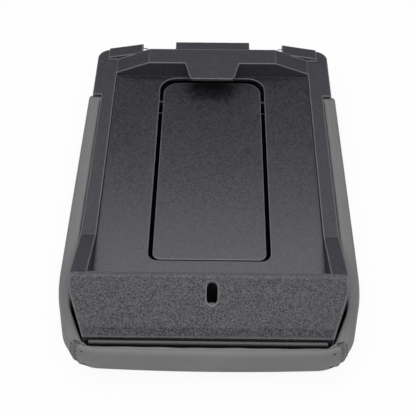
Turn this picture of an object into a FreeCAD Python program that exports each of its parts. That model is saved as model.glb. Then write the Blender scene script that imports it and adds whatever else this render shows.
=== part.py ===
"""Center console lid of a truck, lying on its padded face with the underside up.

Frame: X across the lid, Y from the latch end (minus) to the hinge end (plus), Z up.
The origin is on the padded face, at the middle of the lid's length and width.
All sizes are millimetres and live in the sheet Sizes; every sketch and feature is bound to its cells.
"""
import FreeCAD, Part

import os
import re

import Sketcher

DRIVING_SIZES = {
    # Padded cover: sewn skin over moulded foam
    "cover_width": 265,
    "hinge_taper": 1.5,
    "cover_length": 316,
    "rim_height": 42,
    "corner_radius": 30,
    "shoulder_set": 70,
    "front_inset": 14.5,
    "shoulder_radius": 150,
    "corner_cut_width": 16.5,
    "corner_cut_length": 38,
    "corner_cut_radius": 8,
    "crown_radius": 22,
    "rim_radius": 5,
    "skin_thickness": 1.4,
    "foam_side": 7.8,
    "foam_front": 2.4,
    "foam_end": 3,
    "foam_crown": 12,
    "fit_gap": 0.2,
    "rim_return": 11,
    "end_notch_drop": 12,
    "end_notch_gap": 4.5,
    # Lid shell under the foam
    "shell_wall": 2.6,
    "shell_edge_radius": 4,
    "rib_thickness": 2,
    "rib_height": 8,
    "rib_length": 90,
    "boss_radius": 4.5,
    # Inner frame: rails, ramps and hinge end
    "trim_gap": 0.6,
    "frame_wall": 2.6,
    "rail_rise": 4,
    "rail_width": 14.6,
    "ramp_length": 60,
    "ramp_step": 3,
    "ledge_width": 11,
    "ledge_thickness": 2.5,
    "hinge_reach": 71,
    "hinge_side_set": 6.5,
    "hinge_lap": 5,
    "hinge_overhang": 15,
    "hinge_corner_radius": 14,
    "hump_rise": 14,
    "hump_top": 136,
    "hump_depth": 23,
    "knuckle_reach": 18,
    "knuckle_width": 80.4,
    "knuckle_gap": 36.4,
    "knuckle_radius": 6,
    "ear_inset": 12,
    "ear_inner_rise": 9,
    "ear_outer_rise": 2.5,
    "tongue_base": 58,
    "tongue_tip": 46,
    "tongue_reach": 25,
    "tongue_thickness": 3,
    "tongue_radius": 4,
    # Liner panel and pocket
    "liner_set": 4,
    "liner_thickness": 2.5,
    "liner_gap": 0.4,
    "liner_flange_wall": 2.2,
    "liner_flange_drop": 2.6,
    "snap_length": 12,
    "snap_wall": 2,
    "window_width": 111,
    "window_front_margin": 31,
    "window_back_margin": 4,
    "window_front_radius": 9,
    "window_back_radius": 18,
    "pocket_gap": 4,
    "pocket_depth": 3.5,
    "insert_wall": 2.4,
    "insert_skirt": 6,
    "post_radius": 5,
    # Latch housing
    "ridge_set": 59,
    "ridge_depth": 4,
    "ridge_height": 72,
    "ridge_radius": 1.6,
    "housing_corner_radius": 6,
    "crease_set": 22,
    "crease_height": 52,
    "lip_set": 15.3,
    "lip_height": 46,
    "housing_side_gap": 1.1,
    "lip_spread": 2.3,
    "housing_taper": 14,
    "housing_wall": 2.6,
    "slot_width": 9.2,
    "slot_length": 17.5,
    "slot_set": 38,
    "slot_offset": 3,
    # Latch lever, pawl and pivot
    "pivot_set": 42,
    "pivot_height": 34,
    "pin_radius": 2,
    "pin_overhang": 2,
    "pin_play": 0.05,
    "lever_boss_radius": 5,
    "lever_boss_length": 24,
    "lever_width": 22,
    "lever_front_width": 64,
    "lever_thickness": 3,
    "bar_end_gap": 3.2,
    "bar_set": 10.2,
    "bar_depth": 4.4,
    "bar_height": 44,
    "bar_drop": 8,
    "pawl_width": 5.6,
    "pawl_clearance": 6,
    "pawl_depth": 9,
    "pawl_nose": 2,
    "pawl_seat_height": 41,
    "bracket_thickness": 4,
    "bracket_clearance": 0.6,
    "spring_wire": 1.2,
    "spring_pitch": 1.6,
    "spring_turns": 4,
    # Hinge pivots and fasteners
    "hinge_pin_radius": 3,
    "hinge_pin_stub": 5,
    "hinge_pin_seat": 10,
    "hinge_pin_rise": 3,
    "hinge_pin_inset": 8,
    "screw_radius": 1.9,
    "screw_head_radius": 3.6,
    "screw_head_height": 2.2,
    "screw_length": 12,
    "screw_pitch": 100,
    "housing_screw_x": 60,
    "housing_screw_height": 28,
    # Rear cap on the padded side of the hinge end
    "cap_bottom": 4,
    "cap_wall": 2.6,
    "cap_radius": 14,
    "cap_drop": 2,
    "cap_overhang": 2,
    "cap_screw_inset": 10,
    "cap_screw_set": 25,
    "cap_screw_length": 9,
    "cap_tower_radius": 6.5,
}

# Widths and heights that follow from the sizes above, from the cover inwards
DERIVED_SIZES = {
    "front_width": "cover_width - 2*front_inset",
    "cover_hinge_width": "cover_width - 2*hinge_taper",
    "rim_width": "2*skin_thickness + 3*fit_gap + foam_side + shell_wall",
    "rim_corner_width": "cover_width - 2*(rim_width + corner_cut_width)",
    "opening_width": "cover_width - 2*(rim_width + trim_gap + rail_width)",
    "end_notch_width": "opening_width + 2*end_notch_gap",
    "hinge_width": "cover_width - 2*hinge_side_set",
    "hump_foot": "opening_width",
    "ear_width": "hinge_width - 2*ear_inset",
    "housing_width": "cover_width - 2*(rim_width + trim_gap + housing_side_gap)",
    "housing_front_width": "rim_corner_width + 2*lip_spread",
    "bar_width": "rim_corner_width - 2*bar_end_gap",
    "cap_screw_x": "opening_width/2 + cap_screw_inset",
    "rail_height": "rim_height + rail_rise",
    "liner_height": "rail_height - liner_set",
    "end_notch_height": "liner_height - end_notch_drop",
    "hump_height": "rail_height + hump_rise",
    "ear_inner_height": "rail_height + ear_inner_rise",
    "ear_outer_height": "rail_height + ear_outer_rise",
    "hinge_pin_height": "rail_height + hinge_pin_rise",
    "cap_height": "rim_height - cap_drop",
    "pawl_tip_height": "(ridge_height + crease_height)/2 - pawl_clearance",
}

document = FreeCAD.newDocument("ConsoleLid")
sizes = document.addObject("Spreadsheet::Sheet", "Sizes")
entries = {alias: str(number) for alias, number in DRIVING_SIZES.items()}
entries.update({alias: f"={formula}" for alias, formula in DERIVED_SIZES.items()})
for row, (alias, entry) in enumerate(entries.items(), start=1):
    sizes.set(f"A{row}", alias)
    sizes.set(f"B{row}", entry)
    sizes.setAlias(f"B{row}", alias)
document.recompute()

# Places along the lid, worked out from the driving sizes
FRONT = "-(cover_length + hinge_reach)/2"
COVER_END = f"({FRONT} + cover_length)"
BACK = "(cover_length + hinge_reach)/2"
GAP_EDGE = f"({BACK} - knuckle_reach)"
FAR_RIM = f"({GAP_EDGE} - hump_depth)"
HINGE_START = f"({COVER_END} - hinge_lap)"
HINGE_END = f"({GAP_EDGE} + hinge_overhang)"
CAP_FRONT = f"({COVER_END} + trim_gap)"
CAP_END = f"({GAP_EDGE} + cap_overhang)"
SHOULDER = f"({FRONT} + shoulder_set)"
RIDGE_FRONT = f"({FRONT} + ridge_set)"
RIDGE_BACK = f"({RIDGE_FRONT} + ridge_depth)"
FRAME_FRONT = f"({RIDGE_BACK} + fit_gap)"
OPENING_FRONT = f"({FRAME_FRONT} + frame_wall)"
RAMP_END = f"({RIDGE_BACK} + ramp_length)"
CREASE = f"({FRONT} + crease_set)"
LIP = f"({FRONT} + lip_set)"
PIVOT = f"({FRONT} + pivot_set)"
# How far each layer of the cover lies inside its outline: at the sides, the front and the hinge end
LAYERS = ("foam_side", "foam_front", "foam_end")
FOAM_INNER = tuple(f"(skin_thickness + fit_gap + {foam})" for foam in LAYERS)
SHELL_OUTER = tuple(f"(skin_thickness + 2*fit_gap + {foam})" for foam in LAYERS)
SHELL_INNER = tuple(f"({outer} + shell_wall)" for outer in SHELL_OUTER)
RETURN_OUTER = tuple(f"({inner} + fit_gap)" for inner in SHELL_INNER)
RETURN_INNER = tuple(f"({outer} + skin_thickness)" for outer in RETURN_OUTER)
FRAME_OUTER = tuple(f"({inner} + trim_gap)" for inner in RETURN_INNER)
# Heights of the stacked layers
FOAM_BOTTOM = "(skin_thickness + fit_gap)"
SHELL_BOTTOM = f"({FOAM_BOTTOM} + foam_crown + fit_gap)"
SHELL_FLOOR = f"({SHELL_BOTTOM} + shell_wall)"
SEAT = f"({SHELL_FLOOR} + fit_gap)"
LEDGE_TOP = "(liner_height - liner_thickness - liner_flange_drop)"
LEDGE_BOTTOM = f"({LEDGE_TOP} - ledge_thickness)"
WINDOW_FRONT = f"({OPENING_FRONT} + window_front_margin)"
WINDOW_BACK = f"({FAR_RIM} - window_back_margin)"
SKIRT_END = f"({COVER_END} - {FRAME_OUTER[2]})"
# Screws on the two ledges, and the pivot of the latch
SCREW_X = "(opening_width/2 - liner_gap - liner_flange_wall - trim_gap - screw_head_radius)"
SCREW_MIDDLE = f"(({OPENING_FRONT} + {COVER_END})/2)"
SIDES = (-1, 1)
STEPS = (-1, 0, 1)
SPRING_SPACE = "(spring_pitch*spring_turns + 2*spring_wire)"
BOSS_LEFT = "(slot_offset - lever_boss_length/2)"
BOSS_RIGHT = "(slot_offset + lever_boss_length/2)"
BRACKET_LEFT = f"({BOSS_LEFT} - bracket_clearance - bracket_thickness)"
BRACKET_RIGHT = f"({BOSS_RIGHT} + bracket_clearance + {SPRING_SPACE})"

ALIAS_WORD = re.compile(r"[a-z][a-z_]*")


def bound(text):
    """The expression with each size's name pointing at its cell in the sheet."""
    return ALIAS_WORD.sub(lambda word: "Sizes." + word.group(0), text)


def value(text):
    """The expression's value in millimetres."""
    return float(sizes.evalExpression(bound(text)))


def rectangle(half_width, front, back):
    """Corner points of a rectangle that is centred on the lid's length axis."""
    return [(f"-({half_width})", front), (half_width, front), (half_width, back),
            (f"-({half_width})", back)]


def side_rectangle(side, inner, outer, front, back):
    """Corner points of a rectangle on one side of the lid, side being -1 or 1."""
    return [(f"{side}*({x})", y) for x, y in ((inner, front), (outer, front), (outer, back), (inner, back))]


def cover_half(y):
    """Half the cover's width behind its shoulders: it narrows evenly towards the hinge end."""
    slope = "(cover_width - cover_hinge_width)/2/(cover_length - shoulder_set)"
    return f"(cover_hinge_width/2 + ({COVER_END} - {y})*{slope})"


def mirrored(right):
    """A closed outline from its right half."""
    return right + [(f"-({x})", y) for x, y in reversed(right)]


def cover_outline(inset):
    """The padded cover's plan outline, moved inwards: front corner, shoulder and hinge end."""
    near, far = f"({FRONT} + {inset})", f"({COVER_END} - {inset})"
    return mirrored([(f"front_width/2 - 0.8*{inset}", near), (f"cover_width/2 - {inset}", SHOULDER),
                     (f"{cover_half(far)} - {inset}", far)])


def tray_outline(inset):
    """The shell's plan outline with cut front corners, moved inwards at sides, front and hinge end."""
    side, front, end = inset
    near, far = f"({FRONT} + {front})", f"({COVER_END} - {end})"
    bend = f"({near} + corner_cut_length)"
    return mirrored([(f"{cover_half(near)} - {side} - corner_cut_width", near),
                     (f"{cover_half(bend)} - {side}", bend),
                     (f"{cover_half(far)} - {side}", far)])


class Piece:
    """One piece of the lid: a body that grows by sketched features."""

    def __init__(self, label):
        self.label = label
        self.body = document.addObject("PartDesign::Body", label)
        self.count = 0

    def _name(self, word):
        self.count += 1
        return f"{self.label}_{word}_{self.count}"

    def _sketch(self, plane, offset):
        sketch = self.body.newObject("Sketcher::SketchObject", self._name("sketch"))
        support = [o for o in self.body.Origin.OriginFeatures if o.Role == plane][0]
        sketch.AttachmentSupport = [(support, "")]
        sketch.MapMode = "FlatFace"
        sketch.setExpression("AttachmentOffset.Base.z", bound(offset))
        return sketch

    def _polygon(self, sketch, points):
        """A closed outline whose corners are held by distances from the origin."""
        corners = [FreeCAD.Vector(value(x), value(y), 0) for x, y in points]
        first = sketch.GeometryCount
        count = len(corners)
        for i in range(count):
            sketch.addGeometry(Part.LineSegment(corners[i], corners[(i + 1) % count]), False)
        for i in range(count):
            joint = Sketcher.Constraint("Coincident", first + i, 2, first + (i + 1) % count, 1)
            sketch.addConstraint(joint)
        for i, point in enumerate(points):
            for kind, text, start in zip(("DistanceX", "DistanceY"), point, (corners[i].x, corners[i].y)):
                index = sketch.addConstraint(Sketcher.Constraint(kind, -1, 1, first + i, 1, start))
                sketch.setExpression(f"Constraints[{index}]", bound(text))

    def _circle(self, sketch, centre, radius):
        """A circle held by its centre and radius."""
        x, y = value(centre[0]), value(centre[1])
        circle = Part.Circle(FreeCAD.Vector(x, y, 0), FreeCAD.Vector(0, 0, 1), value(radius))
        first = sketch.addGeometry(circle, False)
        for kind, text, start in zip(("DistanceX", "DistanceY"), centre, (x, y)):
            index = sketch.addConstraint(Sketcher.Constraint(kind, -1, 1, first, 3, start))
            sketch.setExpression(f"Constraints[{index}]", bound(text))
        index = sketch.addConstraint(Sketcher.Constraint("Radius", first, value(radius)))
        sketch.setExpression(f"Constraints[{index}]", bound(radius))

    def _feature(self, kind, word, plane, outlines, circles, start, length, reverse):
        sketch = self._sketch(plane, start)
        for points in outlines:
            self._polygon(sketch, points)
        for centre, radius in circles:
            self._circle(sketch, centre, radius)
        document.recompute()
        before = self.body.Shape.Volume if self.body.Tip else 0.0
        feature = self.body.newObject(kind, self._name(word))
        feature.Profile = sketch
        feature.setExpression("Length", bound(length))
        feature.Reversed = reverse
        document.recompute()
        if abs(self.body.Shape.Volume - before) < 1e-3:
            raise RuntimeError(f"{feature.Name} changed nothing")
        return self

    def add(self, plane, outlines, start, length, circles=(), reverse=False):
        """Pads the outlines from start, by length along the plane's normal."""
        return self._feature("PartDesign::Pad", "pad", plane, outlines, circles, start, length, reverse)

    def cut(self, plane, outlines, start, length, circles=(), reverse=True):
        """Cuts the outlines out from start, by length along the plane's normal."""
        return self._feature("PartDesign::Pocket", "cut", plane, outlines, circles, start, length, reverse)

    def round(self, radius, chosen):
        """Rounds the edges that chosen picks."""
        tip = self.body.Tip
        names = [f"Edge{i}" for i, edge in enumerate(tip.Shape.Edges, start=1) if chosen(edge)]
        if not names:
            raise RuntimeError(f"{self.label}: no edge to round")
        fillet = self.body.newObject("PartDesign::Fillet", self._name("round"))
        fillet.Base = (tip, names)
        fillet.setExpression("Radius", bound(radius))
        document.recompute()
        return self


NEAR = 1e-3


def upright(edge, front="", back="", outside=0.0):
    """True for a vertical edge whose place lies between front and back and further out than outside."""
    box = edge.BoundBox
    standing = box.ZLength > NEAR and box.XLength < NEAR and box.YLength < NEAR
    after = not front or box.YMin > value(front) - NEAR
    before = not back or box.YMax < value(back) + NEAR
    return standing and after and before and abs(box.XMin) > outside - NEAR


def level(edge, height):
    """True for an edge that lies at one height."""
    return edge.BoundBox.ZLength < NEAR and abs(edge.BoundBox.ZMin - value(height)) < NEAR


def front_corner(edge):
    """True for the upright edges at the two front corners of the cover's outline."""
    return upright(edge, back=f"{FRONT} + corner_radius", outside=value("cover_width/4"))


def padded_block(label, inset, bottom, top):
    """A solid of the padded cover: round front corners, shoulders, padded face and rim."""
    piece = Piece(label)
    piece.add("XY_Plane", [cover_outline(inset)], bottom, f"{top} - {bottom}")
    piece.round(f"corner_radius - {inset}", front_corner)
    piece.round(f"shoulder_radius - {inset}", lambda edge: upright(edge, front=SHOULDER, back=SHOULDER))
    piece.round(f"crown_radius - {inset}", lambda edge: level(edge, bottom))
    piece.round(f"rim_radius - {inset}", lambda edge: level(edge, top))
    return piece.body


def tray_block(label, inset, bottom, top, foot_radius="", rim_radius=""):
    """A solid with the shell's plan outline, and perhaps a rounded foot and a rounded rim."""
    piece = Piece(label)
    piece.add("XY_Plane", [tray_outline(inset)], bottom, f"{top} - {bottom}")
    piece.round("corner_cut_radius", front_corner)
    if foot_radius:
        piece.round(foot_radius, lambda edge: level(edge, bottom))
    if rim_radius:
        piece.round(rim_radius, lambda edge: level(edge, top))
    return piece.body


def box(label, low, high):
    """A box between two corners given as expressions."""
    solid = document.addObject("Part::Box", label)
    for axis, near, far, side in zip("xyz", low, high, ("Length", "Width", "Height")):
        solid.setExpression(f"Placement.Base.{axis}", bound(near))
        solid.setExpression(side, bound(f"{far} - ({near})"))
    return solid


def cylinder(label, base, radius, height, turn=None):
    """A cylinder from its base point, standing up unless turned."""
    solid = document.addObject("Part::Cylinder", label)
    if turn:
        solid.Placement = FreeCAD.Placement(FreeCAD.Vector(), turn)
    for axis, place in zip("xyz", base):
        solid.setExpression(f"Placement.Base.{axis}", bound(place))
    solid.setExpression("Radius", bound(radius))
    solid.setExpression("Height", bound(height))
    return solid


def less(label, base, *tools):
    """The base with the tools cut away, one after another."""
    for number, tool in enumerate(tools, start=1):
        cut = document.addObject("Part::Cut", label if number == len(tools) else f"{label}_cut_{number}")
        cut.Base = base
        cut.Tool = tool
        base = cut
    document.recompute()
    return base


def joined(label, *solids):
    """The solids made one."""
    fuse = document.addObject("Part::MultiFuse", label)
    fuse.Shapes = list(solids)
    document.recompute()
    return fuse


def grouped(label, *solids):
    """Separate solids kept together under one name."""
    group = document.addObject("Part::Compound", label)
    group.Links = list(solids)
    document.recompute()
    return group


def end_notch(label):
    """The cut-down middle of the cover's hinge end, where the pocket runs through."""
    return box(label, ("-end_notch_width/2", f"{COVER_END} - 2*{RETURN_INNER[2]}", "end_notch_height"),
               ("end_notch_width/2", f"{COVER_END} + 1", "rim_height + 1"))


TURN_TO_X = FreeCAD.Rotation(FreeCAD.Vector(0, 1, 0), 90)
TURN_DOWN = FreeCAD.Rotation(FreeCAD.Vector(1, 0, 0), 180)
TURN_TO_Y = FreeCAD.Rotation(FreeCAD.Vector(1, 0, 0), 90)

# Sewn skin: outer skin, rolled rim and the return that is glued inside the shell's wall
skin_block = padded_block("skin_block", "0", "0", "rim_height")
skin_core = padded_block("skin_core", "skin_thickness", "skin_thickness", "(rim_height - skin_thickness)")
rim_bottom = "(rim_height - rim_return)"
return_block = tray_block("return_block", RETURN_OUTER, rim_bottom, "(rim_height - skin_thickness/2)")
return_core = tray_block("return_core", RETURN_INNER, f"({rim_bottom} - 1)", "(rim_height + 1)")
skin_bag = joined("skin_bag", less("skin_hollow", skin_block, skin_core), return_block)
cover_skin = less("cover_skin", skin_bag, return_core, end_notch("skin_notch"))

# Moulded foam between skin and shell
layer_top = "(rim_height - skin_thickness - fit_gap)"
foam_block = padded_block("foam_block", "(skin_thickness + fit_gap)", FOAM_BOTTOM, layer_top)
foam_core = tray_block("foam_core", FOAM_INNER, f"({SHELL_BOTTOM} - fit_gap)", "rim_height",
                       "shell_edge_radius + fit_gap")
foam_pad = less("foam_pad", foam_block, foam_core, end_notch("foam_notch"))

# Lid shell: a tray with cross ribs and screw bosses on its floor
shell_block = tray_block("shell_block", SHELL_OUTER, SHELL_BOTTOM, layer_top, "shell_edge_radius",
                         "0.9*shell_wall")
shell_core = tray_block("shell_core", SHELL_INNER, SHELL_FLOOR, "rim_height",
                        "shell_edge_radius - shell_wall")
shell_tray = less("shell_tray", shell_block, shell_core, end_notch("shell_notch"))
shell_parts = [shell_tray]
boss_height = f"{LEDGE_BOTTOM} - fit_gap - {SHELL_FLOOR} + shell_wall/2"
screw_places = [(f"{side}*{SCREW_X}", f"{SCREW_MIDDLE} + {step}*screw_pitch", side, step)
                for side in SIDES for step in STEPS]
for number, (x, y, side, step) in enumerate(screw_places, start=1):
    shell_parts.append(cylinder(f"shell_boss_{number}", (x, y, f"{SHELL_FLOOR} - shell_wall/2"),
                                "boss_radius",
                                boss_height))
rib_places = [f"{SCREW_MIDDLE} + {step}*screw_pitch/2" for step in (-2, -1, 0, 1, 2)]
for number, y in enumerate(rib_places, start=1):
    shell_parts.append(box(f"shell_rib_{number}",
                           ("-rib_length/2", f"{y} - rib_thickness/2", f"{SHELL_FLOOR} - shell_wall/2"),
                           ("rib_length/2", f"{y} + rib_thickness/2", f"{SHELL_FLOOR} + rib_height")))
shell_bores = grouped("shell_bores", *[
    cylinder(f"shell_bore_{number}", (x, y, f"{LEDGE_TOP} - screw_length - 1"), "screw_radius",
             "screw_length + 2")
    for number, (x, y, side, step) in enumerate(screw_places, start=1)])
lid_shell = less("lid_shell", joined("shell_with_ribs", *shell_parts), shell_bores)

# Inner frame, front part: two hollow rails that ramp up to the ridge, joined by a cross wall
frame_half = f"({cover_half(FRAME_FRONT)} - {FRAME_OUTER[0]})"
frame_half_end = f"({cover_half(SKIRT_END)} - {FRAME_OUTER[0]})"
rail_plan = mirrored([(frame_half, FRAME_FRONT), (frame_half_end, SKIRT_END)])
rails = Piece("frame_rails")
rails.add("XY_Plane", [rail_plan], SEAT, f"ridge_height - ramp_step - {SEAT}")
rails.cut("YZ_Plane", [[(FRAME_FRONT, "ridge_height - ramp_step"), (RAMP_END, "rail_height"),
                        (f"{SKIRT_END} + 1", "rail_height"), (f"{SKIRT_END} + 1", "ridge_height"),
                        (FRAME_FRONT, "ridge_height")]], "-cover_width/2", "cover_width")
rails.cut("XY_Plane", [rectangle("opening_width/2", OPENING_FRONT, f"{SKIRT_END} + 1")], f"{SEAT} - 1",
          "ridge_height")
rail_hollow = [(OPENING_FRONT, f"{SEAT} - 1"), (f"{SKIRT_END} - frame_wall", f"{SEAT} - 1"),
               (f"{SKIRT_END} - frame_wall", "rail_height - frame_wall"),
               (RAMP_END, "rail_height - frame_wall"),
               (OPENING_FRONT, "ridge_height - ramp_step - 1.5*frame_wall")]
hollow_inner = "(opening_width/2 + frame_wall)"
hollow_outer = f"({frame_half_end} - frame_wall)"
rails.cut("YZ_Plane", [rail_hollow], hollow_inner, f"{hollow_outer} - {hollow_inner}")
rails.cut("YZ_Plane", [rail_hollow], f"-{hollow_outer}", f"{hollow_outer} - {hollow_inner}")

# Inner frame, hinge end: plate over the cover's end, hump, two ears, middle knuckle and tongue
skirt_bottom = "(cap_height + fit_gap)"
plate_bottom = "(rail_height - frame_wall)"
ear_inner = "(knuckle_width/2 + knuckle_gap)"
ear_outer = "(ear_width/2)"
knuckle_start = f"-{BACK}"
knuckle_length = "knuckle_reach + 1"
hinge = Piece("frame_hinge")
hinge.add("XY_Plane", [rectangle("hinge_width/2", CAP_FRONT, HINGE_END)], skirt_bottom,
          f"rail_height - {skirt_bottom}")
hinge.round("hinge_corner_radius", lambda edge: upright(edge, front=GAP_EDGE))
hinge.add("XY_Plane", [rectangle("hinge_width/2", HINGE_START, f"{CAP_FRONT} + 1")], plate_bottom,
          "frame_wall")
hinge.add("XY_Plane", [rectangle(frame_half_end, f"{SKIRT_END} - frame_wall", f"{HINGE_START} + 1")],
          plate_bottom,
          "frame_wall")
hump = [("-hump_foot/2", skirt_bottom), ("hump_foot/2", skirt_bottom), ("hump_foot/2", "rail_height"),
        ("hump_top/2", "hump_height"), ("-hump_top/2", "hump_height"), ("-hump_foot/2", "rail_height")]
hinge.add("XZ_Plane", [hump], f"-{GAP_EDGE}", "hump_depth")
for side in SIDES:
    ear = [(f"{side}*{ear_inner}", skirt_bottom), (f"{side}*{ear_outer}", skirt_bottom),
           (f"{side}*{ear_outer}", "ear_outer_height"), (f"{side}*{ear_inner}", "ear_inner_height")]
    hinge.add("XZ_Plane", [ear], knuckle_start, knuckle_length)
knuckle = [("-knuckle_width/2", skirt_bottom), ("knuckle_width/2", skirt_bottom),
           ("knuckle_width/2", "hump_height - 2"), ("-knuckle_width/2", "hump_height - 2")]
hinge.add("XZ_Plane", [knuckle], knuckle_start, knuckle_length)
hinge.round("knuckle_radius", lambda edge: edge.BoundBox.YMin > value(BACK) - NEAR
            and edge.BoundBox.XLength > 1
            and edge.CenterOfMass.z > value("rail_height"))
hinge.cut("XY_Plane", [rectangle("opening_width/2", f"{SKIRT_END} - 2*frame_wall", FAR_RIM)],
          f"{skirt_bottom} - 1",
          "hump_height")
for side in SIDES:
    gap = side_rectangle(side, "knuckle_width/2", ear_inner, GAP_EDGE, f"{BACK} + 1")
    hinge.cut("XY_Plane", [gap], f"{skirt_bottom} - 1", "hump_height")
hump_hollow = [("-(hump_foot/2 - frame_wall)", f"{skirt_bottom} - 1"),
               ("hump_foot/2 - frame_wall", f"{skirt_bottom} - 1"),
               ("hump_foot/2 - frame_wall", "rail_height - 0.7*frame_wall"),
               ("hump_top/2 - 0.2*frame_wall", "hump_height - frame_wall"),
               ("-(hump_top/2 - 0.2*frame_wall)", "hump_height - frame_wall"),
               ("-(hump_foot/2 - frame_wall)", "rail_height - 0.7*frame_wall")]
hinge.cut("XZ_Plane", [hump_hollow], f"-({GAP_EDGE} - frame_wall)", "hump_depth - 2*frame_wall",
          reverse=True)
for side in SIDES:
    pit = side_rectangle(side, hollow_inner, "(hinge_width/2 - 0.4*hinge_corner_radius)",
                         f"{CAP_FRONT} + frame_wall",
                         f"{HINGE_END} - 0.4*hinge_corner_radius")
    hinge.cut("XY_Plane", [pit], f"{skirt_bottom} - 1", f"{plate_bottom} - {skirt_bottom} + 1")
tongue = [("-tongue_base/2", f"{FAR_RIM} + 1"), ("-tongue_tip/2", f"{FAR_RIM} - tongue_reach"),
          ("tongue_tip/2", f"{FAR_RIM} - tongue_reach"), ("tongue_base/2", f"{FAR_RIM} + 1")]
hinge.add("XY_Plane", [tongue], "hump_height - tongue_thickness", "tongue_thickness")
tongue_end = f"({FAR_RIM} - tongue_reach)"
hinge.round("tongue_radius", lambda edge: upright(edge, front=tongue_end, back=tongue_end))

# Inner frame, whole: ledges and walls around the opening, screw holes and bosses
frame_parts = [rails.body, hinge.body]
for side, name in zip(SIDES, ("left", "right")):
    inner, outer = sorted((f"{side}*(opening_width/2 - ledge_width)", f"{side}*(opening_width/2 + 0.5)"),
                          key=value)
    frame_parts.append(box(f"frame_ledge_{name}", (inner, f"{OPENING_FRONT} - 0.5", LEDGE_BOTTOM),
                           (outer, f"{FAR_RIM} + 0.5", LEDGE_TOP)))
    inner, outer = sorted((f"{side}*opening_width/2", f"{side}*(opening_width/2 + frame_wall)"), key=value)
    frame_parts.append(box(f"frame_cheek_{name}", (inner, f"{SKIRT_END} - frame_wall", LEDGE_BOTTOM),
                           (outer, f"{FAR_RIM} + frame_wall", "(rail_height - frame_wall/2)")))
    frame_parts.append(cylinder(f"frame_cap_boss_{name}",
                                (f"{side}*cap_screw_x", f"{CAP_FRONT} + cap_screw_set",
                                 "(cap_height - cap_wall)"),
                                "boss_radius", "rail_height - frame_wall/2 - cap_height + cap_wall"))
frame_parts.append(box("frame_far_wall", ("-opening_width/2", FAR_RIM, LEDGE_BOTTOM),
                       ("opening_width/2", f"{FAR_RIM} + frame_wall", "rail_height")))
hinge_pin_y = f"({BACK} - hinge_pin_inset)"
screw_hole = "screw_radius + fit_gap"
frame_holes = [cylinder(f"ledge_hole_{number}", (x, y, f"{LEDGE_BOTTOM} - 1"), screw_hole,
                        "ledge_thickness + 2")
               for number, (x, y, side, step) in enumerate(screw_places, start=1)]
for side, name in zip(SIDES, ("left", "right")):
    start = f"{ear_inner} - 1" if side > 0 else f"-({ear_inner} + hinge_pin_seat)"
    frame_holes.append(cylinder(f"ear_bore_{name}", (start, hinge_pin_y, "hinge_pin_height"),
                                "hinge_pin_radius + pin_play", "hinge_pin_seat + 1", TURN_TO_X))
    frame_holes.append(cylinder(f"cap_pilot_{name}",
                                (f"{side}*cap_screw_x", f"{CAP_FRONT} + cap_screw_set",
                                 "(cap_height - cap_wall - 1)"),
                                "screw_radius + pin_play", "cap_screw_length - cap_wall + 1.5"))
    frame_holes.append(cylinder(f"wall_hole_{name}",
                                (f"{side}*housing_screw_x", f"{OPENING_FRONT} + 1", "housing_screw_height"),
                                screw_hole, "frame_wall + 2", TURN_TO_Y))
inner_frame = less("inner_frame", joined("frame_solid", *frame_parts), grouped("frame_holes", *frame_holes))

# Hinge pins: steel stubs pressed into the ears, standing out into the gaps
pin_length = "hinge_pin_stub + hinge_pin_seat - fit_gap"
hinge_pin_left = cylinder("hinge_pin_left",
                          (f"-({ear_inner} + hinge_pin_seat - fit_gap)", hinge_pin_y, "hinge_pin_height"),
                          "hinge_pin_radius", pin_length, TURN_TO_X)
hinge_pin_right = cylinder("hinge_pin_right",
                           (f"{ear_inner} - hinge_pin_stub", hinge_pin_y, "hinge_pin_height"),
                           "hinge_pin_radius", pin_length, TURN_TO_X)

# Liner panel with the pocket window, standing flange and snap hooks under the ledges
liner_half = "(opening_width/2 - liner_gap)"
liner_bottom = "(liner_height - liner_thickness)"
liner_front, liner_back = f"({OPENING_FRONT} + liner_gap)", f"({FAR_RIM} - liner_gap)"
liner = Piece("liner_panel")
liner.add("XY_Plane", [rectangle(liner_half, liner_front, liner_back)], liner_bottom, "liner_thickness")
liner.cut("XY_Plane", [rectangle("window_width/2", WINDOW_FRONT, WINDOW_BACK)], f"{liner_bottom} - 1",
          "liner_thickness + 2")
liner.round("window_front_radius", lambda edge: upright(edge, front=WINDOW_FRONT, back=WINDOW_FRONT))
liner.round("window_back_radius", lambda edge: upright(edge, front=WINDOW_BACK, back=WINDOW_BACK))
for side in SIDES:
    flange = side_rectangle(side, f"({liner_half} - liner_flange_wall)", liner_half, liner_front,
                            liner_back)
    liner.add("XY_Plane", [flange], LEDGE_TOP, f"liner_flange_drop + liner_thickness/2")
    for step in SIDES:
        edge_x = "(opening_width/2 - ledge_width - fit_gap)"
        snap = [(f"{side}*({edge_x} - snap_wall)", f"{liner_bottom} + liner_thickness/2"),
                (f"{side}*({edge_x} - snap_wall)", f"{LEDGE_BOTTOM} - snap_wall"),
                (f"{side}*{edge_x}", f"{LEDGE_BOTTOM} - snap_wall"),
                (f"{side}*({edge_x} + 0.8*snap_wall)", f"{LEDGE_BOTTOM} - fit_gap"),
                (f"{side}*{edge_x}", f"{LEDGE_BOTTOM} - fit_gap"),
                (f"{side}*{edge_x}", f"{liner_bottom} + liner_thickness/2")]
        liner.add("XZ_Plane", [snap], f"-({SCREW_MIDDLE} + {step}*screw_pitch/2 + snap_length/2)",
                  "snap_length")

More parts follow.
